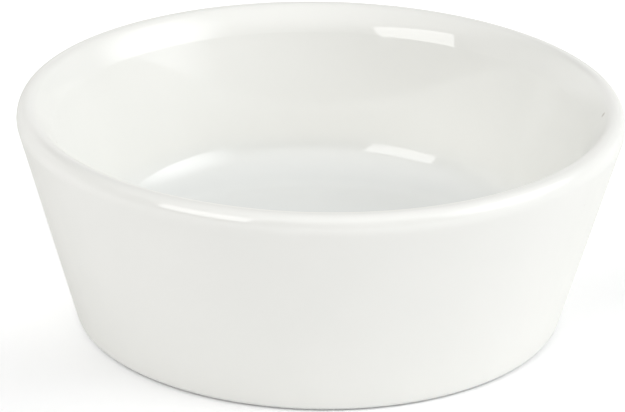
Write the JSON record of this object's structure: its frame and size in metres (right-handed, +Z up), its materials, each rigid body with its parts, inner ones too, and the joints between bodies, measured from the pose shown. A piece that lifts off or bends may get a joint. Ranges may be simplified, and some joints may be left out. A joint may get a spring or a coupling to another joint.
{
  "type": "serving bowl",
  "caption": "Small round white porcelain bowl with a straight flared wall, thick round lip, coved flat floor and bare foot ring, for dips, sauces or snacks.",
  "frame": {"origin": "middle of the circle that the bowl stands on, at the foot ring's ground face", "axes": "+Z up along the bowl's axis of turning; X and Y lie level and are alike"},
  "size_m": [0.08, 0.08, 0.0298],
  "materials": {
    "bare_porcelain": "fired, ground and unglazed, with a fine matt grain",
    "white_glaze": "clear gloss glaze over white porcelain"
  },
  "bodies": {
    "root": {"porcelain_body": "bare_porcelain", "glaze_coat": "white_glaze", "underside_glaze": "white_glaze"}
  },
  "joints": []
}
